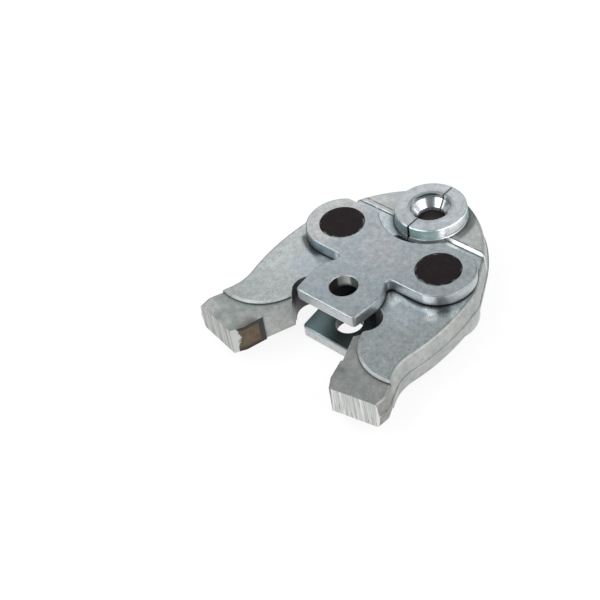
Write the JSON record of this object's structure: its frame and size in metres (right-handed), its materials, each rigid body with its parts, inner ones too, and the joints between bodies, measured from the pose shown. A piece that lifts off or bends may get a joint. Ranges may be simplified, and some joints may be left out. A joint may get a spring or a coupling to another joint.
{
  "type": "press fitting tool jaw",
  "caption": "Jaw for a pipe-press tool: forged levers hinged on pins between link plates close into a split round collar, and a cross hole takes the tool's bolt.",
  "frame": {"origin": "centre of the tool-bolt hole, midway between the link plates", "axes": "+Z along the tool-bolt hole, up when the jaw lies flat; +Y from the bolt hole to the nose with the collar; +X to the right-hand lever"},
  "size_m": [0.1156, 0.137, 0.0342],
  "materials": {
    "plated_plate": "bright zinc plating over milled steel, slightly dulled and finely scratched",
    "plated_forging": "zinc plating over a fine-grained forged skin, bare and brown on the roller tracks",
    "blackened_pin": "blackened hardened steel, satin, oiled",
    "spring_steel": "drawn spring steel, lightly oiled"
  },
  "bodies": {
    "link": {"upper_link_plate": "plated_plate", "lower_link_plate": "plated_plate", "left_pivot_pin": "blackened_pin", "right_pivot_pin": "blackened_pin", "spring_post": "spring_steel", "closing_spring": "spring_steel"},
    "left_lever": {"left_jaw_lever": "plated_forging"},
    "right_lever": {"right_jaw_lever": "plated_forging"}
  },
  "joints": [
    {"name": "left_pivot", "type": "hinge", "parent": "link", "child": "left_lever", "pos_m": [-0.0305, 0.0343, 0], "axis": [0, 0, 1], "range_deg": [0, 13], "stiffness_Nm_per_rad": 0.8, "springref_deg": -28.65, "deforming": ["closing_spring"]},
    {"name": "right_pivot", "type": "hinge", "parent": "link", "child": "right_lever", "pos_m": [0.0305, 0.0343, 0], "axis": [0, 0, 1], "range_deg": [-13, 0], "stiffness_Nm_per_rad": 0.8, "springref_deg": 28.65, "deforming": ["closing_spring"]}
  ]
}
